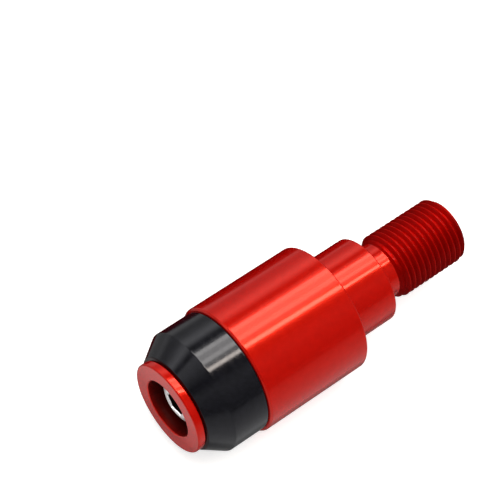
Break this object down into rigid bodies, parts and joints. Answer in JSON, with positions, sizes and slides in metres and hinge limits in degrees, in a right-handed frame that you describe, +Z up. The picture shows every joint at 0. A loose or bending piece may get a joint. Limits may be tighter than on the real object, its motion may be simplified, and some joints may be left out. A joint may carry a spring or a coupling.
{
  "type": "bar end weight",
  "caption": "Turned bar end weight: a barrel with a threaded stud, and a conical collar clamped by an end cap and a socket-head screw.",
  "frame": {"origin": "centre of the spigot's end face, the shoulder that bears on the bar's end", "axes": "+X along the stud into the bar, +Z up, with the axis level as on a mounted bar"},
  "size_m": [0.0798, 0.031, 0.031],
  "materials": {
    "red_anodised": "bright red anodised, fine turned",
    "black_anodised": "gloss black anodised, turned",
    "screw_steel": "plain stainless steel"
  },
  "bodies": {
    "root": {"body": "red_anodised", "collar": "black_anodised", "end_cap": "red_anodised", "cap_screw": "screw_steel"}
  },
  "joints": []
}
